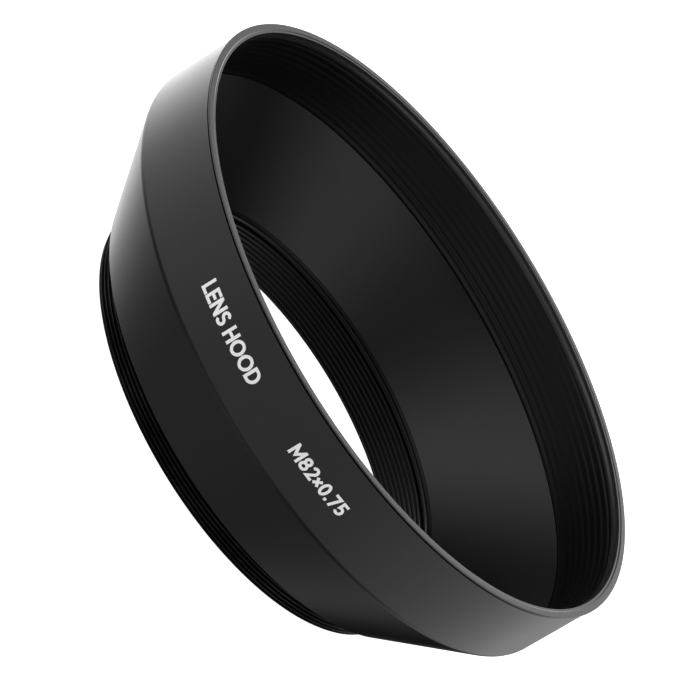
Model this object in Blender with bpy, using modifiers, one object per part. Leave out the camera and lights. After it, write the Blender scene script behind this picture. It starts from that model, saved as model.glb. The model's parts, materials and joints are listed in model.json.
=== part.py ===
"""Round wide-angle lens hood: five turned aluminium pieces on one optical axis.

The optical axis is +Z. The origin is the centre of the mount's rear face, which rests on z = 0,
and the front opening looks up. Lengths are in millimetres; turned_part scales them to metres.

How the pieces stack, from the back to the front:
  mount_ring     tube with the lens's thread behind, its front end held in the collar of the shell
  throat_sleeve  ribbed sleeve inside the mount ring, stopped by its front flange
  baffle_cone    thin cone that drops in from the front and rests on a ledge in the shell
  hood_shell     the outer bell, ribbed inside its front band
  rim_ring       trim ring with the turned front face, its skirt inside the shell's mouth
"""

from math import radians, sin, tan

import bpy
from mathutils import Vector

MM = 0.001
SEGMENTS = 60            # flats around each turned piece; a multiple of 4 keeps X and Y extents true
CLEARANCE = 0.3          # gap between pieces that touch on the real hood

# Driving dimensions
HEIGHT = 36.6            # mount face to front face
RIM_RADIUS = 56.6        # outside of the front lip, the widest place
WALL_RADIUS = 56.25      # outside of the cylindrical band behind the lip
SHOULDER_Z = 22.2        # where the band's line and the cone's line would meet
SHOULDER_ROUND = 1.5     # radius of the bend between them
REAR_EDGE_RADIUS = 44.25  # outside of the shell's back edge, which rests on the lens
REAR_EDGE_Z = 5.2        # height of that edge above the mount's rear face
REAR_EDGE_ROUND = 0.6
SHELL_WALL = 1.8         # thickness of the conical wall
COLLAR_TOP_Z = 8.0       # top of the collar that holds the mount ring

THREAD_RADIUS = 41.0     # M82 x 0.75
THREAD_PITCH = 0.75
THREAD_DEPTH = 0.46
THREAD_TURNS = 5
THREAD_FIRST_CREST_Z = 0.5
RELIEF_RADIUS = 40.3     # plain groove between the thread and the shell's back edge
MOUNT_BORE = 38.6
MOUNT_TOP_Z = 8.0

THROAT_RADIUS = 36.5     # crests of the throat ribs
THROAT_RIB_DEPTH = 0.45
THROAT_RIB_PITCH = 0.88
THROAT_RIBS = 8
THROAT_FIRST_RIB_Z = 1.2
THROAT_FLANGE_Z = MOUNT_TOP_Z + CLEARANCE
THROAT_TOP_Z = 9.2

CONE_TOP_Z = 23.7
CONE_TOP_RADIUS = 54.3
CONE_LIP = 0.4           # flat edge at the front of the baffle cone
CONE_RIM = 1.0           # height of its straight rim, which stands on the shell's ledge
CONE_WALL = 1.0
CONE_SMALL_RADIUS = 37.4

BAND_CREST = 54.6        # crests of the ribs in the shell's front band
BAND_ROOT = 55.05
BAND_RIB_PITCH = 1.34
BAND_RIBS = 8
BAND_FIRST_RIB_Z = 24.46

RIM_FACE_INNER = 54.9    # edges of the turned front face
RIM_FACE_OUTER = 56.5
RIM_FLANGE = 0.4         # thickness of the lip where it overhangs the wall
RIM_SKIRT_RADIUS = 55.4
RIM_SKIRT_Z = 34.85


def clear_scene():
    """Empty the file, so that the script can be run again."""
    for obj in list(bpy.data.objects):
        bpy.data.objects.remove(obj, do_unlink=True)


def new_collection(name):
    collection = bpy.data.collections.new(name)
    bpy.context.scene.collection.children.link(collection)
    return collection


def new_material(name, colour, roughness, metallic):
    material = bpy.data.materials.new(name)
    material.use_nodes = True
    shader = material.node_tree.nodes["Principled BSDF"]
    shader.inputs["Base Color"].default_value = (*colour, 1.0)
    shader.inputs["Roughness"].default_value = roughness
    shader.inputs["Metallic"].default_value = metallic
    return material


def turned_part(name, profile, material, collection):
    """Turn a closed profile of (radius, height) points about Z.

    The profile runs down the outside, inwards along the back and up the inside.
    """
    mesh = bpy.data.meshes.new(name)
    points = [(radius * MM, 0.0, height * MM) for radius, height in profile]
    edges = [(i, (i + 1) % len(points)) for i in range(len(points))]
    mesh.from_pydata(points, edges, [])
    obj = bpy.data.objects.new(name, mesh)
    collection.objects.link(obj)

    screw = obj.modifiers.new("Turn", "SCREW")
    screw.axis = "Z"
    screw.steps = SEGMENTS
    screw.render_steps = SEGMENTS
    screw.use_merge_vertices = True
    screw.merge_threshold = 0.00001
    bpy.context.view_layer.objects.active = obj
    bpy.ops.object.modifier_apply(modifier=screw.name)

    obj.data.shade_smooth()
    obj.data.set_sharp_from_angle(angle=radians(30))
    obj.data.materials.append(material)
    return obj


def round_corner(before, corner, after, radius, steps):
    """Points of the arc that rounds a profile's corner."""
    corner = Vector(corner)
    back = (Vector(before) - corner).normalized()
    ahead = (Vector(after) - corner).normalized()
    half = back.angle(ahead) / 2
    centre = corner + (back + ahead).normalized() * radius / sin(half)
    first = (corner + back * radius / tan(half) - centre).normalized()
    last = (corner + ahead * radius / tan(half) - centre).normalized()
    return [tuple(centre + first.slerp(last, i / steps) * radius) for i in range(steps + 1)]


def ribs_upwards(first_z, pitch, count, crest, root):
    """Crests and roots of turned ribs, from the lowest crest to the highest one."""
    points = [(crest, first_z)]
    for rib in range(1, count):
        points.append((root, first_z + (rib - 0.5) * pitch))
        points.append((crest, first_z + rib * pitch))
    return points


def line_radius(z, start, end):
    """Radius at height z of the straight line through two profile points."""
    share = (z - start[1]) / (end[1] - start[1])
    return start[0] + share * (end[0] - start[0])


def shell_profile():
    shoulder = (WALL_RADIUS, SHOULDER_Z)
    rear_edge = (REAR_EDGE_RADIUS, REAR_EDGE_Z)
    slope = Vector(shoulder) - Vector(rear_edge)
    wall_across = SHELL_WALL * slope.length / slope.y

    top_z = HEIGHT - RIM_FLANGE - CLEARANCE
    edge_break = 0.15
    mouth_radius = RIM_SKIRT_RADIUS + CLEARANCE
    mouth_z = RIM_SKIRT_Z - CLEARANCE - 0.1
    pocket_radius = CONE_TOP_RADIUS + 0.45
    pocket_top_z = BAND_FIRST_RIB_Z - BAND_RIB_PITCH / 3
    room_for_cone_back = 0.2
    ledge_z = CONE_TOP_Z - CONE_RIM - CLEARANCE - room_for_cone_back
    ledge_radius = line_radius(ledge_z, rear_edge, shoulder) - wall_across
    collar_outer = line_radius(COLLAR_TOP_Z, rear_edge, shoulder) - wall_across
    collar_bore = THREAD_RADIUS + CLEARANCE

    outside = [(WALL_RADIUS - edge_break, top_z), (WALL_RADIUS, top_z - edge_break)]
    outside += round_corner(outside[-1], shoulder, rear_edge, SHOULDER_ROUND, 6)
    outside += round_corner(shoulder, rear_edge, (collar_bore, REAR_EDGE_Z), REAR_EDGE_ROUND, 3)
    inside = [
        (collar_bore, REAR_EDGE_Z),
        (collar_bore, COLLAR_TOP_Z),
        (collar_outer, COLLAR_TOP_Z),
        (ledge_radius, ledge_z),
        (pocket_radius, ledge_z),
        (pocket_radius, pocket_top_z),
    ]
    inside += ribs_upwards(BAND_FIRST_RIB_Z, BAND_RIB_PITCH, BAND_RIBS, BAND_CREST, BAND_ROOT)
    inside += [(BAND_ROOT, mouth_z), (mouth_radius, mouth_z), (mouth_radius, top_z)]
    return outside + inside


def rim_profile():
    edge_break = 0.1
    lip_bottom_z = HEIGHT - RIM_FLANGE
    chamfer_root_z = HEIGHT - 0.35
    cap_groove_radius = BAND_CREST + 0.35
    return [
        (RIM_FACE_OUTER, HEIGHT),
        (RIM_RADIUS, HEIGHT - 0.1),
        (RIM_RADIUS, lip_bottom_z + edge_break),
        (RIM_RADIUS - edge_break, lip_bottom_z),
        (RIM_SKIRT_RADIUS, lip_bottom_z),
        (RIM_SKIRT_RADIUS, RIM_SKIRT_Z),
        (BAND_CREST, RIM_SKIRT_Z),
        (BAND_CREST, RIM_SKIRT_Z + 0.65),
        (cap_groove_radius, RIM_SKIRT_Z + 0.8),
        (cap_groove_radius, chamfer_root_z - 0.15),
        (BAND_CREST, chamfer_root_z),
        (RIM_FACE_INNER, HEIGHT),
    ]


def cone_profile():
    top_inner = (CONE_TOP_RADIUS - CONE_LIP, CONE_TOP_Z)
    bottom_z = THROAT_TOP_Z + CLEARANCE
    bottom_inner = (CONE_SMALL_RADIUS, bottom_z)
    rim_bottom = (CONE_TOP_RADIUS, CONE_TOP_Z - CONE_RIM)
    slope = Vector(top_inner) - Vector(bottom_inner)
    wall_across = CONE_WALL * slope.length / slope.y
    return [
        (CONE_TOP_RADIUS, CONE_TOP_Z),
        rim_bottom,
        (CONE_SMALL_RADIUS + wall_across, bottom_z),
        bottom_inner,
        top_inner,
    ]


def throat_profile():
    sleeve_radius = MOUNT_BORE - CLEARANCE
    flange_radius = MOUNT_BORE + 2.0
    root = THROAT_RADIUS + THROAT_RIB_DEPTH
    groove_top_z = THROAT_FLANGE_Z - 0.05
    front_land = THROAT_RADIUS + 0.3
    last_rib_z = THROAT_FIRST_RIB_Z + (THROAT_RIBS - 1) * THROAT_RIB_PITCH
    ribs = ribs_upwards(THROAT_FIRST_RIB_Z, THROAT_RIB_PITCH, THROAT_RIBS, THROAT_RADIUS, root)
    return [
        (flange_radius, THROAT_TOP_Z),
        (flange_radius, THROAT_FLANGE_Z),
        (sleeve_radius, THROAT_FLANGE_Z),
        (sleeve_radius, 0.0),
        (THROAT_RADIUS, 0.0),
        *ribs,
        (root + 0.3, last_rib_z + 0.4),
        (root + 0.3, groove_top_z),
        (front_land, groove_top_z + 0.15),
        (front_land, THROAT_TOP_Z - 0.2),
        (front_land + 0.4, THROAT_TOP_Z),
    ]


def mount_profile():
    root = THREAD_RADIUS - THREAD_DEPTH
    relief_top_z = REAR_EDGE_Z + CLEARANCE
    relief_bottom_z = THREAD_FIRST_CREST_Z + (THREAD_TURNS - 0.4) * THREAD_PITCH
    thread = ribs_upwards(THREAD_FIRST_CREST_Z, THREAD_PITCH, THREAD_TURNS, THREAD_RADIUS, root)
    return [
        (THREAD_RADIUS, MOUNT_TOP_Z),
        (THREAD_RADIUS, relief_top_z),
        (RELIEF_RADIUS, relief_top_z),
        (RELIEF_RADIUS, relief_bottom_z),
        *reversed(thread),
        (root, 0.0),
        (MOUNT_BORE, 0.0),
        (MOUNT_BORE, MOUNT_TOP_Z),
    ]


def build():
    clear_scene()
    parts = new_collection("lens_hood")
    satin_black = new_material("satin_black", (0.022, 0.022, 0.024), 0.38, 0.5)
    turned_face = new_material("turned_face", (0.20, 0.20, 0.205), 0.32, 0.8)
    cone_black = new_material("cone_black", (0.020, 0.020, 0.021), 0.50, 0.3)
    baffle_black = new_material("baffle_black", (0.012, 0.012, 0.013), 0.60, 0.2)
    thread_black = new_material("thread_black", (0.008, 0.008, 0.009), 0.50, 0.4)

    turned_part("mount_ring", mount_profile(), thread_black, parts)
    turned_part("throat_sleeve", throat_profile(), baffle_black, parts)
    turned_part("baffle_cone", cone_profile(), cone_black, parts)
    turned_part("hood_shell", shell_profile(), satin_black, parts)
    turned_part("rim_ring", rim_profile(), turned_face, parts)


build()
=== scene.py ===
"""Looks of the screw-in lens hood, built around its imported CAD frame.

Every piece is turned about the optical axis, +Z, from an outline of (radius, height) in
millimetres. The driving radii and heights are read from the CAD nodes, and the fine outlines
here add what the plain solids leave out: rounded edges, ribs, the helical thread and the paint.
"""
import json
from math import ceil, cos, pi, radians, sin, tan, tau

import bmesh
import bpy
from mathutils import Matrix, Vector

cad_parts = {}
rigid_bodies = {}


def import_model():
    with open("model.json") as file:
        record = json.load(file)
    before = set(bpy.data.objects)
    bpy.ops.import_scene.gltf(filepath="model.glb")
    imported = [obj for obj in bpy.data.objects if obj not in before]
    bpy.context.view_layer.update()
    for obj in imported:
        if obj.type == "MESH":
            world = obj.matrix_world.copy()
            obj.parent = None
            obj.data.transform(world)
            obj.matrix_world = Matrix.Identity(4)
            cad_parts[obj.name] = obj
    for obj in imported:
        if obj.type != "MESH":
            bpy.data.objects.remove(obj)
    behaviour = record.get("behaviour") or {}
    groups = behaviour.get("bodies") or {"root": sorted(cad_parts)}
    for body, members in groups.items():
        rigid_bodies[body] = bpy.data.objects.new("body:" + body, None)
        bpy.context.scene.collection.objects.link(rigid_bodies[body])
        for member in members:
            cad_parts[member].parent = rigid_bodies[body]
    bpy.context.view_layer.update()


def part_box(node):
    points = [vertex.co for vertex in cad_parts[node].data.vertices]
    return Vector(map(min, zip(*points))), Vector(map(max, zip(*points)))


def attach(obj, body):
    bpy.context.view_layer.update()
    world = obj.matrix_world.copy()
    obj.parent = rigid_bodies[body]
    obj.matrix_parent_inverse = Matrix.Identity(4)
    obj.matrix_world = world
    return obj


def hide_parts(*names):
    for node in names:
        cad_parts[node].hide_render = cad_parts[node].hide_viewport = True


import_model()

MM = 0.001

# How finely the pieces are turned
SEGMENTS = 288            # flats round each piece
ARC_STEP = radians(14)    # largest turn between two points of a rounded corner
ARC_CHORD = 0.5           # longest chord of a rounded corner
SUPPORT = 0.06            # distance of the loops that keep flats flat beside rounded corners
SHARP_ANGLE = radians(32)    # edges that bend more than this are shaded sharp


def node_size(node):
    """Outer radius, lowest height and highest height of a CAD node, in millimetres."""
    low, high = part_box(node)
    return high.x / MM, low.z / MM, high.z / MM


RIM_SKIRT_Z, HEIGHT = node_size("rim_ring")[1:]
WALL_RADIUS, REAR_EDGE_Z = node_size("hood_shell")[:2]
CONE_RADIUS, CONE_TOP_Z = node_size("baffle_cone")[::2]
FLANGE_RADIUS, REAR_Z, THROAT_TOP_Z = node_size("throat_sleeve")
THREAD_RADIUS, MOUNT_REAR_Z, MOUNT_TOP_Z = node_size("mount_ring")

# Lip and front band
LIP_RADIUS = 56.47        # just inside the CAD ring
LIP_THICKNESS = 0.2
LIP_SLOT = 0.36           # dark line between the lip and the shell's wall
FACE_EDGE = 0.08          # small chamfer round the outside of the face
FACE_INNER = 55.34        # inner edge of the face, where a fine step leads down to the land
STEP_WIDTH = 0.2
STEP_DROP = 0.1
LAND_INNER = 54.74
SKIRT_OUTER = 55.4
BAND_CREST = 54.6
BAND_ROOT = 54.75
BAND_RIB_PITCH = 1.34
BAND_RIBS = 8
BAND_RIB_WIDTH = 0.3
BAND_RIB_ROUND = 0.9
BAND_FIRST_RIB_Z = 24.5

# Shell
SHOULDER_Z = 22.2
SHOULDER_ROUND = 1.5
REAR_EDGE_RADIUS = 44.12
REAR_EDGE_ROUND = 0.4
SHELL_WALL = 1.8
COLLAR_TOP_Z = 8.0

# Baffle cone
CONE_SMALL_RADIUS = 37.4
CONE_LIP = 0.2
CONE_RIM = 1.0
CONE_WALL = 1.0

# Throat sleeve and mount ring
THROAT_RADIUS = 36.5
THROAT_RIB_DEPTH = 0.28
THROAT_RIB_PITCH = 0.88
THROAT_RIBS = 8
THROAT_RIB_WIDTH = 0.26
THROAT_RIB_ROUND = 0.12
THROAT_FIRST_RIB_Z = 1.2
THROAT_GROOVE_DEPTH = 0.45
THROAT_FRONT_LAND = 36.85
MOUNT_BORE = 38.6
THREAD_PITCH = 0.75
THREAD_DEPTH = 0.46
THREAD_TOP_Z = 3.7
THREAD_LEAD_IN = 0.45     # length over which the thread runs out at both ends
THREAD_ROWS = 12          # outline points per pitch
THREAD_CREST = 0.12       # flat crest, as a share of the pitch
THREAD_FLANK = 0.70       # both flanks together, as a share of the pitch
RELIEF_RADIUS = 40.3      # plain groove between the thread and the shell

# Camera, seen from the side of the markings and rolled so that the optical axis points up and to
# the right
CAMERA_AIM = Vector((-0.0017, 0.0, 0.02202))
CAMERA_DISTANCE = 0.8768
CAMERA_ELEVATION = radians(23.19)
CAMERA_ROLL = radians(58.6)
CAMERA_LENS = 268.7
CAMERA_SENSOR = 36.0


# ---------------------------------------------------------------- outlines

def rounded(corners):
    """Closed outline through corners of (radius, height) or (radius, height, rounding)."""
    points = []
    for index, corner in enumerate(corners):
        here = Vector(corner[:2])
        rounding = corner[2] if len(corner) > 2 else 0.0
        if not rounding:
            points.append(here)
            continue
        back = (Vector(corners[index - 1][:2]) - here).normalized()
        ahead = (Vector(corners[(index + 1) % len(corners)][:2]) - here).normalized()
        half = back.angle(ahead) / 2
        centre = here + (back + ahead).normalized() * (rounding / sin(half))
        first = (here + back * (rounding / tan(half)) - centre).normalized()
        last = (here + ahead * (rounding / tan(half)) - centre).normalized()
        sweep = pi - 2 * half
        steps = max(2, ceil(sweep / ARC_STEP), ceil(sweep * rounding / ARC_CHORD))
        for step in range(steps + 1):
            points.append(centre + first.slerp(last, step / steps) * rounding)
    return points


def supported(points):
    """The outline with a point just inside both ends of each long straight stretch."""
    result = []
    for index, start in enumerate(points):
        end = points[(index + 1) % len(points)]
        along = end - start
        result.append(start)
        if along.length > 5 * SUPPORT:
            step = along.normalized() * SUPPORT
            result.extend((start + step, end - step))
    return result


def ribs_upwards(first_z, pitch, count, crest, root, crest_width, rounding):
    """Corners of turned ribs with flat crests, from the lowest rib to the highest one."""
    corners = []
    for rib in range(count):
        z = first_z + rib * pitch
        if rib:
            corners.append((root, z - pitch / 2, rounding))
        corners.append((crest, z - crest_width / 2, rounding))
        corners.append((crest, z + crest_width / 2, rounding))
    return corners


def radius_on_line(z, start, end):
    """Radius at height z of the straight line through two corners."""
    share = (z - start[1]) / (end[1] - start[1])
    return start[0] + share * (end[0] - start[0])


# ---------------------------------------------------------------- meshes

def turned_mesh(name, outline, radius_at=None):
    """Mesh of a closed outline turned about Z.

    The outline runs down the outside and up the inside. radius_at, if given, returns the radius
    of an outline point at an angle, for shapes that change round the axis, such as a thread.
    """
    bm = bmesh.new()
    rings = []
    for segment in range(SEGMENTS):
        angle = tau * segment / SEGMENTS
        ring = []
        for radius, z in outline:
            if radius_at:
                radius = radius_at(radius, z, angle)
            ring.append(bm.verts.new((radius * MM * cos(angle), radius * MM * sin(angle), z * MM)))
        rings.append(ring)
    count = len(outline)
    for segment, ring in enumerate(rings):
        following = rings[(segment + 1) % SEGMENTS]
        for point in range(count):
            ahead = (point + 1) % count
            bm.faces.new((ring[point], ring[ahead], following[ahead], following[point]))
    mesh = bpy.data.meshes.new(name)
    bmesh.ops.recalc_face_normals(bm, faces=bm.faces)
    bm.to_mesh(mesh)
    bm.free()
    mesh.shade_smooth()
    mesh.set_sharp_from_angle(angle=SHARP_ANGLE)
    return mesh


def place(name, mesh, material, slot, *nodes):
    """Put a mesh in the scene as a piece on the hood's one body, standing for CAD nodes."""
    piece = bpy.data.objects.new(name, mesh)
    bpy.context.scene.collection.objects.link(piece)
    piece.data.materials.append(material)
    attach(piece, "root")
    if nodes:
        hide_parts(*nodes)
    return piece


# ---------------------------------------------------------------- materials

class Surface:
    """A Principled material with short ways to make the nodes that drive it."""

    def __init__(self, name, roughness, specular=0.5, metallic=0.0):
        self.material = bpy.data.materials.new(name)
        self.material.use_nodes = True
        self.tree = self.material.node_tree
        self.shader = self.tree.nodes["Principled BSDF"]
        self.shader.inputs["Roughness"].default_value = roughness
        self.shader.inputs["Specular IOR Level"].default_value = specular
        self.shader.inputs["Metallic"].default_value = metallic
        place_of = self.tree.nodes.new("ShaderNodeTexCoord").outputs["Object"]
        split = self.tree.nodes.new("ShaderNodeSeparateXYZ")
        self.link(place_of, split.inputs[0])
        self.position = place_of
        self.x, self.y, self.z = split.outputs
        square_x = self.math("MULTIPLY", self.x, self.x)
        self.radius = self.math("SQRT", self.math("MULTIPLY_ADD", self.y, self.y, square_x))

    def link(self, output, socket):
        self.tree.links.new(output, socket)

    def math(self, operation, *values, clamp=False):
        node = self.tree.nodes.new("ShaderNodeMath")
        node.operation = operation
        node.use_clamp = clamp
        for socket, value in zip(node.inputs, values):
            if isinstance(value, (int, float)):
                socket.default_value = value
            else:
                self.link(value, socket)
        return node.outputs[0]

    def ramp(self, value, low, high, low_result, high_result):
        """value from low to high, mapped smoothly to low_result to high_result."""
        node = self.tree.nodes.new("ShaderNodeMapRange")
        node.interpolation_type = "SMOOTHSTEP"
        self.link(value, node.inputs["Value"])
        for socket, number in zip(list(node.inputs)[1:5], (low, high, low_result, high_result)):
            socket.default_value = number
        return node.outputs["Result"]

    def grain(self, size_mm, detail=2.0):
        """Noise with features of about size_mm, the same in every direction."""
        node = self.tree.nodes.new("ShaderNodeTexNoise")
        node.inputs["Scale"].default_value = 1 / (size_mm * MM)
        node.inputs["Detail"].default_value = detail
        self.link(self.position, node.inputs["Vector"])
        return node.outputs["Fac"]

    def lathe_marks(self, pitch_mm, round_trip=1.5, detail=3.0):
        """Noise that runs round the axis: fine across the feed, long along the cut."""
        node = self.tree.nodes.new("ShaderNodeTexNoise")
        node.noise_dimensions = "4D"
        node.inputs["Scale"].default_value = 1.0
        node.inputs["Detail"].default_value = detail
        per_metre = 1 / (pitch_mm * MM)
        combine = self.tree.nodes.new("ShaderNodeCombineXYZ")
        for socket, value in zip(combine.inputs, (self.x, self.y)):
            self.link(self.math("MULTIPLY", self.math("DIVIDE", value, self.radius), round_trip), socket)
        self.link(self.math("MULTIPLY", self.z, per_metre), combine.inputs[2])
        self.link(combine.outputs[0], node.inputs["Vector"])
        self.link(self.math("MULTIPLY", self.radius, per_metre), node.inputs["W"])
        return node.outputs["Fac"]

    def colour(self, dark, light, share):
        """Base colour between two greys or colours, by a share from 0 to 1."""
        node = self.tree.nodes.new("ShaderNodeMix")
        node.data_type = "RGBA"
        self.link(share, node.inputs["Factor"])
        node.inputs["A"].default_value = (*dark, 1.0)
        node.inputs["B"].default_value = (*light, 1.0)
        self.link(node.outputs["Result"], self.shader.inputs["Base Color"])

    def roughness(self, value):
        self.link(value, self.shader.inputs["Roughness"])

    def bump(self, *heights_and_depths):
        """Chained bumps of (height, depth in millimetres)."""
        normal = None
        for height, depth_mm in heights_and_depths:
            node = self.tree.nodes.new("ShaderNodeBump")
            node.inputs["Strength"].default_value = 1.0
            node.inputs["Distance"].default_value = depth_mm * MM
            self.link(height, node.inputs["Height"])
            if normal:
                self.link(normal, node.inputs["Normal"])
            normal = node.outputs["Normal"]
        self.link(normal, self.shader.inputs["Normal"])


def satin_black():
    """Satin black anodising with faint turning and handling marks, a little duller on the ribs."""
    surface = Surface("satin_black", 0.34, 0.3)
    marks = surface.lathe_marks(0.35)
    blotch = surface.grain(9.0, 3.0)
    fine = surface.grain(0.25, 1.0)
    surface.colour((0.0027, 0.0027, 0.003), (0.0039, 0.0039, 0.0042), blotch)
    variation = surface.math("MULTIPLY_ADD", marks, 0.03, 0.19)
    outside = surface.math("MULTIPLY_ADD", blotch, 0.05, variation)
    in_mouth = surface.math("LESS_THAN", surface.radius, (BAND_ROOT + 0.5) * MM)
    in_front = surface.math("GREATER_THAN", surface.z, CONE_TOP_Z * MM)
    in_band = surface.math("MULTIPLY", in_mouth, in_front)
    surface.roughness(surface.math("MULTIPLY_ADD", in_band, 0.12, outside))
    surface.bump((marks, 0.0016), (fine, 0.0009))
    return surface.material


def turned_face():
    """Front ring: the same black anodising over a face turned bright, with a slow chatter."""
    surface = Surface("turned_face", 0.30, 0.5)
    marks = surface.lathe_marks(0.12, 2.0)
    chatter = surface.lathe_marks(0.5, 90.0, 1.0)
    surface.colour((0.024, 0.024, 0.0246), (0.046, 0.046, 0.047), marks)
    surface.roughness(surface.math("MULTIPLY_ADD", chatter, 0.12, 0.16))
    surface.bump((marks, 0.002), (chatter, 0.003))
    return surface.material


def cone_black():
    """Inside cone: semi-matt black, evenly blasted."""
    surface = Surface("cone_black", 0.45, 0.3)
    blotch = surface.grain(7.0, 3.0)
    fine = surface.grain(0.22, 1.0)
    surface.colour((0.0027, 0.0027, 0.003), (0.0039, 0.0039, 0.0042), blotch)
    surface.roughness(surface.math("MULTIPLY_ADD", blotch, 0.06, 0.27))
    surface.bump((fine, 0.0012))
    return surface.material


def baffle_black():
    """Throat ribs: deep matt black with turning marks."""
    surface = Surface("baffle_black", 0.42, 0.13)
    marks = surface.lathe_marks(0.2)
    blotch = surface.grain(5.0)
    surface.colour((0.0015, 0.0015, 0.0017), (0.0022, 0.0022, 0.0024), blotch)
    surface.roughness(surface.math("MULTIPLY_ADD", marks, 0.10, 0.28))
    surface.bump((marks, 0.0015))
    return surface.material


def thread_black():
    """Mount thread: black anodising, a touch brighter where the crests have run in a lens."""
    surface = Surface("thread_black", 0.38, 0.12)
    crest = surface.ramp(surface.radius, (THREAD_RADIUS - 0.12) * MM, THREAD_RADIUS * MM, 0.0, 1.0)
    worn = surface.math("MULTIPLY", crest, surface.ramp(surface.grain(1.6, 3.0), 0.45, 0.75, 0.0, 1.0))
    marks = surface.lathe_marks(0.15)
    surface.colour((0.002, 0.002, 0.0022), (0.014, 0.014, 0.0145), worn)
    surface.roughness(surface.math("MULTIPLY_ADD", marks, 0.12, 0.34))
    surface.bump((marks, 0.0012))
    return surface.material


def marking_white():
    """Screen-printed white paint with a slightly uneven film."""
    surface = Surface("marking_white", 0.5)
    film = surface.grain(0.3, 2.0)
    surface.colour((0.90, 0.90, 0.90), (0.96, 0.96, 0.96), film)
    surface.roughness(surface.math("MULTIPLY_ADD", film, 0.15, 0.42))
    surface.bump((film, 0.002))
    return surface.material


# ---------------------------------------------------------------- pieces

def make_shell():
    """Outer bell: a straight band in front, a rounded shoulder and a cone down to the mount."""
    shoulder = (WALL_RADIUS, SHOULDER_Z)
    rear_edge = (REAR_EDGE_RADIUS, REAR_EDGE_Z)
    slope = Vector(shoulder) - Vector(rear_edge)
    wall_across = SHELL_WALL * slope.length / slope.y
    top_z = HEIGHT - LIP_THICKNESS - LIP_SLOT
    mouth_z = RIM_SKIRT_Z - 0.05
    mouth_radius = SKIRT_OUTER + 0.05
    ledge_z = CONE_TOP_Z - CONE_RIM - 0.1
    pocket_radius = CONE_RADIUS + 0.05
    pocket_top_z = CONE_TOP_Z + 0.04
    collar_bore = THREAD_RADIUS + 0.08
    ribs = ribs_upwards(
        BAND_FIRST_RIB_Z, BAND_RIB_PITCH, BAND_RIBS, BAND_CREST, BAND_ROOT, BAND_RIB_WIDTH,
        BAND_RIB_ROUND,
    )
    corners = [
        (WALL_RADIUS, top_z, 0.12),
        (*shoulder, SHOULDER_ROUND),
        (*rear_edge, REAR_EDGE_ROUND),
        (collar_bore, REAR_EDGE_Z, 0.15),
        (collar_bore, COLLAR_TOP_Z),
        (radius_on_line(COLLAR_TOP_Z, rear_edge, shoulder) - wall_across, COLLAR_TOP_Z),
        (radius_on_line(ledge_z, rear_edge, shoulder) - wall_across, ledge_z),
        (pocket_radius, ledge_z),
        (pocket_radius, pocket_top_z),
        (BAND_CREST, pocket_top_z, 0.06),
        *ribs[1:],
        (BAND_ROOT, mouth_z - 0.3, BAND_RIB_ROUND),
        (BAND_CREST + 0.1, mouth_z),
        (mouth_radius, mouth_z),
        (mouth_radius, top_z),
    ]
    mesh = turned_mesh("hood_shell", supported(rounded(corners)))
    place("shell", mesh, satin_black(), "satin_black", "hood_shell")


def make_rim():
    """Front trim ring: a flat turned face, a fine step down to a narrow land, and the mouth behind."""
    lip_z = HEIGHT - LIP_THICKNESS
    corners = [
        (LIP_RADIUS - FACE_EDGE, HEIGHT, 0.03),
        (LIP_RADIUS, HEIGHT - FACE_EDGE, 0.03),
        (LIP_RADIUS, lip_z, 0.03),
        (SKIRT_OUTER, lip_z),
        (SKIRT_OUTER, RIM_SKIRT_Z),
        (BAND_CREST, RIM_SKIRT_Z, 0.1),
        (BAND_CREST, RIM_SKIRT_Z + 0.4, 0.5),
        (BAND_CREST + 0.15, HEIGHT - 0.75, 0.5),
        (BAND_CREST + 0.18, HEIGHT - STEP_DROP - 0.2, 0.1),
        (LAND_INNER, HEIGHT - STEP_DROP, 0.04),
        (FACE_INNER - STEP_WIDTH, HEIGHT - STEP_DROP, 0.03),
        (FACE_INNER, HEIGHT, 0.03),
    ]
    mesh = turned_mesh("rim_ring", supported(rounded(corners)))
    place("rim", mesh, turned_face(), "turned_face", "rim_ring")


def make_cone():
    """Thin inner cone between the ribbed band and the throat."""
    top_inner = (CONE_RADIUS - CONE_LIP, CONE_TOP_Z, 0.12)
    bottom_z = THROAT_TOP_Z + 0.02
    bottom_inner = (CONE_SMALL_RADIUS, bottom_z, 0.02)
    slope = Vector(top_inner[:2]) - Vector(bottom_inner[:2])
    wall_across = CONE_WALL * slope.length / slope.y
    corners = [
        (CONE_RADIUS, CONE_TOP_Z, 0.08),
        (CONE_RADIUS, CONE_TOP_Z - CONE_RIM),
        (CONE_SMALL_RADIUS + wall_across, bottom_z),
        bottom_inner,
        top_inner,
    ]
    mesh = turned_mesh("baffle_cone", supported(rounded(corners)))
    place("inner_cone", mesh, cone_black(), "cone_black", "baffle_cone")


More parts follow.
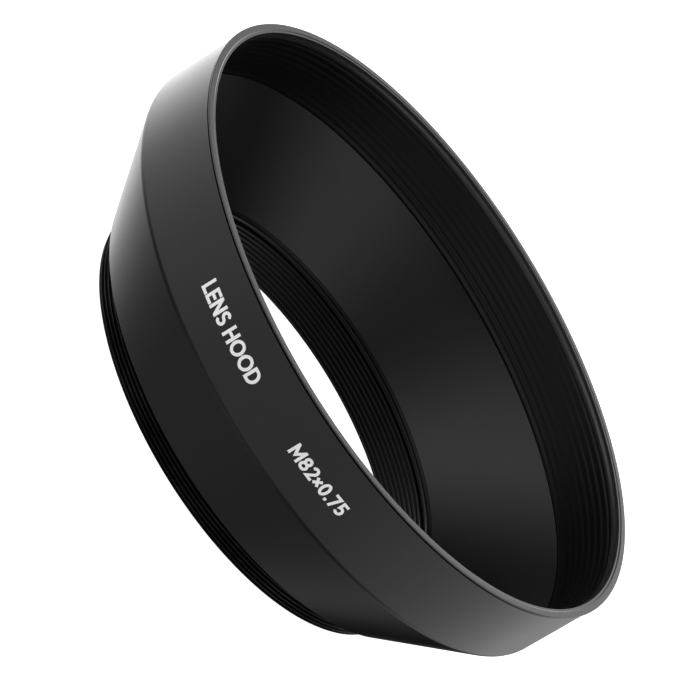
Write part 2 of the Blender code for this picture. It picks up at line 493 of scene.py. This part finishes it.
def make_throat():
    """Ribbed sleeve behind the cone, open to the lens."""
    sleeve_radius = MOUNT_BORE - 0.05
    flange_z = MOUNT_TOP_Z + 0.05
    root = THROAT_RADIUS + THROAT_RIB_DEPTH
    groove = root + THROAT_GROOVE_DEPTH
    last_rib_z = THROAT_FIRST_RIB_Z + (THROAT_RIBS - 1) * THROAT_RIB_PITCH
    ribs = ribs_upwards(
        THROAT_FIRST_RIB_Z, THROAT_RIB_PITCH, THROAT_RIBS, THROAT_RADIUS, root, THROAT_RIB_WIDTH,
        THROAT_RIB_ROUND,
    )
    corners = [
        (FLANGE_RADIUS, THROAT_TOP_Z, 0.1),
        (FLANGE_RADIUS, flange_z),
        (sleeve_radius, flange_z),
        (sleeve_radius, REAR_Z, 0.12),
        (THROAT_RADIUS, REAR_Z, 0.15),
        (THROAT_RADIUS, THROAT_FIRST_RIB_Z - 0.7, 0.1),
        (root, THROAT_FIRST_RIB_Z - THROAT_RIB_PITCH / 2, 0.07),
        *ribs,
        (groove, last_rib_z + 0.32, 0.08),
        (groove, last_rib_z + 0.7, 0.08),
        (THROAT_FRONT_LAND, last_rib_z + 0.85, 0.15),
        (THROAT_FRONT_LAND, THROAT_TOP_Z - 0.45, 0.5),
        (CONE_SMALL_RADIUS - 0.02, THROAT_TOP_Z, 0.02),
    ]
    mesh = turned_mesh("throat_sleeve", supported(rounded(corners)))
    place("throat", mesh, baffle_black(), "baffle_black", "throat_sleeve")


def thread_radius(radius, z, angle):
    """Outer radius of the thread, a helix of THREAD_PITCH with flat crests and sloping flanks."""
    root = THREAD_RADIUS - THREAD_DEPTH
    if radius < root - 0.01 or z > THREAD_TOP_Z:
        return radius
    phase = (z / THREAD_PITCH - angle / tau) % 1.0
    flank = min(1.0, max(0.0, (abs(phase - 0.5) * 2 - THREAD_CREST) / THREAD_FLANK))
    height = THREAD_DEPTH * (1 - flank)
    ends = min(1.0, (z - MOUNT_REAR_Z) / THREAD_LEAD_IN, (THREAD_TOP_Z - z) / THREAD_LEAD_IN)
    return root + height * max(0.0, ends)


def make_mount():
    """Mount ring with its M82 thread, which screws into the lens."""
    rows = int((THREAD_TOP_Z - MOUNT_REAR_Z) / THREAD_PITCH * THREAD_ROWS)
    step = (THREAD_TOP_Z - MOUNT_REAR_Z) / rows
    root = THREAD_RADIUS - THREAD_DEPTH
    neck = [
        (THREAD_RADIUS, MOUNT_TOP_Z),
        (THREAD_RADIUS, REAR_EDGE_Z + 0.1, 0.05),
        (RELIEF_RADIUS, REAR_EDGE_Z + 0.1, 0.1),
        (RELIEF_RADIUS, THREAD_TOP_Z + 0.25, 0.2),
    ]
    outside = rounded(neck)[1:]
    outside.insert(0, Vector((THREAD_RADIUS, MOUNT_TOP_Z)))
    outside += [Vector((root, THREAD_TOP_Z - row * step)) for row in range(rows + 1)]
    inside = [
        Vector((root - 0.3, MOUNT_REAR_Z)),
        Vector((MOUNT_BORE + 0.1, MOUNT_REAR_Z)),
        Vector((MOUNT_BORE, MOUNT_REAR_Z + 0.1)),
        Vector((MOUNT_BORE, MOUNT_TOP_Z)),
    ]
    mesh = turned_mesh("mount_ring", outside + inside, thread_radius)
    place("mount", mesh, thread_black(), "thread_black", "mount_ring")


# ---------------------------------------------------------------- lettering

STROKE = 0.19             # stroke width over cap height
WORD_SPACE = 0.30
MID_BAR = 0.51            # height of the middle bar of E and H
BOW_STEP = 12             # degrees between points of a curved stroke
FILM = 0.03               # height of the paint over the band, in millimetres


def bow(x, y, across, up, first, last):
    """Points along part of an ellipse, from angle first to angle last, in degrees."""
    steps = ceil(abs(last - first) / BOW_STEP)
    angles = [radians(first + (last - first) * step / steps) for step in range(steps + 1)]
    return [(x + across * cos(angle), y + up * sin(angle)) for angle in angles]


def ring_stroke(x, y, across, up):
    """Closed stroke along a whole ellipse."""
    return bow(x, y, across, up, 0, 360)[:-1], True


def glyph(character):
    """Width and strokes of one character, in cap heights. A stroke is (centre line, closed)."""
    half = STROKE / 2
    top = 1 - half

    def letter(width, *strokes):
        return width, [stroke if isinstance(stroke, tuple) else (stroke, False) for stroke in strokes]

    def stem(x):
        return [(x, 0), (x, 1)]

    if character == "L":
        return letter(0.53, [(half, 1), (half, half), (0.53, half)])
    if character == "E":
        outer = [(0.57, top), (half, top), (half, half), (0.57, half)]
        return letter(0.57, outer, [(half, MID_BAR), (0.52, MID_BAR)])
    if character == "N":
        return letter(0.72, stem(half), stem(0.72 - half), [(half + 0.02, 0.93), (0.70 - half, 0.07)])
    if character == "H":
        return letter(0.70, stem(half), stem(0.70 - half), [(half, MID_BAR), (0.70 - half, MID_BAR)])
    if character == "M":
        valley = [(half, 0.93), (0.45, 0.30), (0.90 - half, 0.93)]
        return letter(0.90, stem(half), stem(0.90 - half), valley)
    if character == "O":
        return letter(0.88, ring_stroke(0.44, 0.5, 0.44 - half, top - 0.5))
    if character == "0":
        return letter(0.62, ring_stroke(0.31, 0.5, 0.31 - half, top - 0.5))
    if character == "D":
        bowl = bow(0.30, 0.5, 0.44 - half, top - 0.5, -90, 90)
        return letter(0.74, ([(half, half), *bowl, (half, top)], True))
    if character == "S":
        upper = bow(0.31, 0.7025, 0.19, 0.2025, 25, 270)
        lower = bow(0.31, 0.2975, 0.215, 0.2025, 90, -155)
        return letter(0.62, upper + lower[1:])
    if character == "8":
        return letter(0.64, ring_stroke(0.32, 0.71, 0.19, 0.195), ring_stroke(0.32, 0.305, 0.225, 0.21))
    if character == "2":
        hook = bow(0.29, 0.67, 0.195, 0.235, 165, -30)
        return letter(0.58, [*hook, (half + 0.04, half), (0.58, half)])
    if character == "7":
        return letter(0.57, [(0, top), (0.57 - half, top), (0.22, 0)])
    if character == "5":
        bowl = bow(0.28, 0.325, 0.215, 0.23, 125, -150)
        return letter(0.59, [(0.53, top), (0.14, top), *bowl])
    if character == "\u00d7":
        return letter(0.50, [(0.05, 0.16), (0.45, 0.66)], [(0.05, 0.66), (0.45, 0.16)])
    if character == ".":
        return letter(STROKE, [(half, 0), (half, STROKE)])
    raise ValueError(f"no strokes for {character!r}")


def stroke_mesh(name, centre_line, closed, shift):
    """Flat bar of one unit's depth along a stroke's centre line, with mitred corners."""
    points = [Vector(point) + Vector((shift, 0)) for point in centre_line]
    bm = bmesh.new()
    sections = []
    for index, point in enumerate(points):
        before = points[index - 1] if closed or index else None
        after = points[(index + 1) % len(points)] if closed or index < len(points) - 1 else None
        ways = []
        if before is not None:
            ways.append((point - before).normalized())
        if after is not None:
            ways.append((after - point).normalized())
        way = sum(ways, Vector((0, 0))).normalized()
        sideways = Vector((-way.y, way.x)) * (STROKE / 2 / way.dot(ways[0]))
        sections.append([
            bm.verts.new((*(point + sideways * side), depth))
            for side, depth in ((1, 0), (-1, 0), (-1, 1), (1, 1))
        ])
    pairs = list(zip(sections, sections[1:]))
    if closed:
        pairs.append((sections[-1], sections[0]))
    else:
        bm.faces.new(sections[0])
        bm.faces.new(sections[-1])
    for one, other in pairs:
        for corner in range(4):
            beside = (corner + 1) % 4
            bm.faces.new((one[corner], one[beside], other[beside], other[corner]))
    bmesh.ops.recalc_face_normals(bm, faces=bm.faces)
    mesh = bpy.data.meshes.new(name)
    bm.to_mesh(mesh)
    bm.free()
    return mesh


def words_mesh(name, words, length):
    """Solid letters of one unit's cap height and depth, spaced to the length, joined into one mesh."""
    letters = [glyph(character) for character in words if character != " "]
    spaces = words.count(" ")
    gap = (length - sum(width for width, strokes in letters) - spaces * WORD_SPACE) / (len(letters) - 1)
    cutters = bpy.data.collections.new(name + "_strokes")
    x = 0.0
    for character in words:
        if character == " ":
            x += WORD_SPACE
            continue
        width, strokes = glyph(character)
        for centre_line, closed in strokes:
            bar = bpy.data.objects.new(name, stroke_mesh(name, centre_line, closed, x))
            cutters.objects.link(bar)
        x += width + gap
    bars = list(cutters.objects)
    first = bars[0]
    cutters.objects.unlink(first)
    bpy.context.scene.collection.objects.link(first)
    join = first.modifiers.new("Join", "BOOLEAN")
    join.operation = "UNION"
    join.operand_type = "COLLECTION"
    join.collection = cutters
    bpy.context.view_layer.update()
    evaluated = first.evaluated_get(bpy.context.evaluated_depsgraph_get())
    mesh = bpy.data.meshes.new_from_object(evaluated)
    for bar in bars:
        bpy.data.objects.remove(bar)
    bpy.data.collections.remove(cutters)
    return mesh


def make_marking(name, words, start_degrees, length, cap_height, centre_z, material):
    """Paint film of some words on the shell's band. Angles run from -Y towards +X."""
    mesh = words_mesh(name, words, length / cap_height)
    bm = bmesh.new()
    bm.from_mesh(mesh)
    bmesh.ops.triangulate(bm, faces=bm.faces)
    for vertex in bm.verts:
        angle = radians(start_degrees) + vertex.co.x * cap_height / WALL_RADIUS
        z = centre_z + (vertex.co.y - 0.5) * cap_height
        radius = WALL_RADIUS - FILM / 2 + vertex.co.z * FILM * 1.5
        vertex.co = Vector((radius * sin(angle), -radius * cos(angle), z)) * MM
    bm.to_mesh(mesh)
    bm.free()
    place(name, mesh, material, "marking_white")


def make_markings():
    """The two printed markings on the front band."""
    paint = marking_white()
    make_marking("marking_name", "LENS HOOD", -23.6, 18.2, 2.9, 29.4, paint)
    make_marking("marking_thread", "M82\u00d70.75", 6.8, 13.6, 2.65, 29.1, paint)


# ---------------------------------------------------------------- stage

FLOOR_SIZE = 6.0          # metres
FLOOR_GAP = 0.0001        # metres under the mount's rear face, so that the two don't coincide


def make_floor():
    """Pale floor that shows only to the camera, so that the finish mirrors the soft light alone."""
    mesh = bpy.data.meshes.new("floor")
    reach = FLOOR_SIZE / 2
    corners = [(-reach, -reach, 0), (reach, -reach, 0), (reach, reach, 0), (-reach, reach, 0)]
    mesh.from_pydata(corners, [], [(0, 1, 2, 3)])
    floor = bpy.data.objects.new("floor", mesh)
    floor.location.z = -FLOOR_GAP
    bpy.context.scene.collection.objects.link(floor)
    material = bpy.data.materials.new("pale_floor")
    material.use_nodes = True
    shader = material.node_tree.nodes["Principled BSDF"]
    shader.inputs["Base Color"].default_value = (0.9, 0.9, 0.9, 1.0)
    shader.inputs["Roughness"].default_value = 0.9
    shader.inputs["Specular IOR Level"].default_value = 0.0
    shader.inputs["Emission Color"].default_value = (1.0, 1.0, 1.0, 1.0)
    shader.inputs["Emission Strength"].default_value = 1.1
    mesh.materials.append(material)
    floor.visible_glossy = False
    floor.visible_diffuse = False
    floor.visible_shadow = False


# Soft light all round: a pale band at table height and some broad glows, each of them
# (azimuth from -Y towards +X, elevation, strength, sharpness). The notes say which part of the
# hood mirrors a glow to the camera, with angles round the hood counted the same way.
SURROUND = (-9, 2.2, 11.6)      # elevation, strength, sharpness
SKY_GLOWS = (
    (-90, -3, 1.5, 15),         # wall at -45
    (-138, -23, 1.6, 11),       # wall at -70
    (-55, -6, 0.85, 15),        # wall at -30
    (65, -9, 0.45, 15),         # wall at 30
    (90, -22, 0.3, 15),         # wall at 45
    (120, -40, 0.7, 15),        # wall and cone at 50 to 60
    (170, 9, 2.1, 15),          # front face
    (-107, 63, 2.6, 15),        # inside of the cone, +X side
    (100, 64, 1.9, 15),         # inside of the cone, -X side
    (-45, -80, 0.27, 8),        # cone at the front
    (-5, -56, 0.65, 12),        # shoulder at the front
    (-172, -29, 1.5, 26),       # cone at -60
    (172, -27, -1.3, 20),       # below zero, so a dark flag: wall beyond 80
)


def sky_direction(azimuth, elevation):
    """Unit vector towards a point of the sky."""
    a, e = radians(azimuth), radians(elevation)
    return Vector((sin(a) * cos(e), -cos(a) * cos(e), sin(e)))


def make_sky():
    """Studio light: the surround and its glows, and plain white behind the floor."""
    world = bpy.data.worlds.new("studio")
    bpy.context.scene.world = world
    world.use_nodes = True
    tree = world.node_tree
    tree.nodes.clear()
    direction = tree.nodes.new("ShaderNodeTexCoord").outputs["Generated"]

    def math(operation, *values):
        node = tree.nodes.new("ShaderNodeMath")
        node.operation = operation
        for socket, value in zip(node.inputs, values):
            if isinstance(value, (int, float)):
                socket.default_value = value
            else:
                tree.links.new(value, socket)
        return node.outputs[0]

    height = tree.nodes.new("ShaderNodeSeparateXYZ")
    tree.links.new(direction, height.inputs[0])
    band_elevation, band_strength, band_sharpness = SURROUND
    above = math("SUBTRACT", height.outputs["Z"], sin(radians(band_elevation)))
    fall = math("MULTIPLY", math("MULTIPLY", above, above), -band_sharpness)
    total = math("MULTIPLY", math("EXPONENT", fall), band_strength)
    for azimuth, elevation, strength, sharpness in SKY_GLOWS:
        dot = tree.nodes.new("ShaderNodeVectorMath")
        dot.operation = "DOT_PRODUCT"
        tree.links.new(direction, dot.inputs[0])
        dot.inputs[1].default_value = sky_direction(azimuth, elevation)
        away = math("SUBTRACT", dot.outputs["Value"], 1.0)
        glow = math("EXPONENT", math("MULTIPLY", away, sharpness))
        total = math("MULTIPLY_ADD", glow, strength, total)

    soft = tree.nodes.new("ShaderNodeBackground")
    tree.links.new(math("MAXIMUM", total, 0.0), soft.inputs["Strength"])
    white = tree.nodes.new("ShaderNodeBackground")
    white.inputs["Strength"].default_value = 1.0
    seen = tree.nodes.new("ShaderNodeLightPath").outputs["Is Camera Ray"]
    mix = tree.nodes.new("ShaderNodeMixShader")
    tree.links.new(seen, mix.inputs["Fac"])
    tree.links.new(soft.outputs[0], mix.inputs[1])
    tree.links.new(white.outputs[0], mix.inputs[2])
    output = tree.nodes.new("ShaderNodeOutputWorld")
    tree.links.new(mix.outputs[0], output.inputs["Surface"])


def make_camera():
    """Long lens, aimed at the middle of the hood."""
    data = bpy.data.cameras.new("camera")
    data.lens = CAMERA_LENS
    data.sensor_width = CAMERA_SENSOR
    data.clip_start = 0.05
    data.clip_end = 20.0
    camera = bpy.data.objects.new("camera", data)
    turn = Matrix.Rotation(pi / 2 - CAMERA_ELEVATION, 4, "X") @ Matrix.Rotation(CAMERA_ROLL, 4, "Z")
    back = Vector((0.0, -cos(CAMERA_ELEVATION), sin(CAMERA_ELEVATION)))
    camera.matrix_world = Matrix.Translation(CAMERA_AIM + back * CAMERA_DISTANCE) @ turn
    bpy.context.scene.collection.objects.link(camera)
    bpy.context.scene.camera = camera


make_camera()
make_shell()
make_rim()
make_cone()
make_throat()
make_mount()
make_markings()
make_floor()
make_sky()
bpy.context.scene.view_settings.view_transform = "Standard"

bpy.context.view_layer.update()
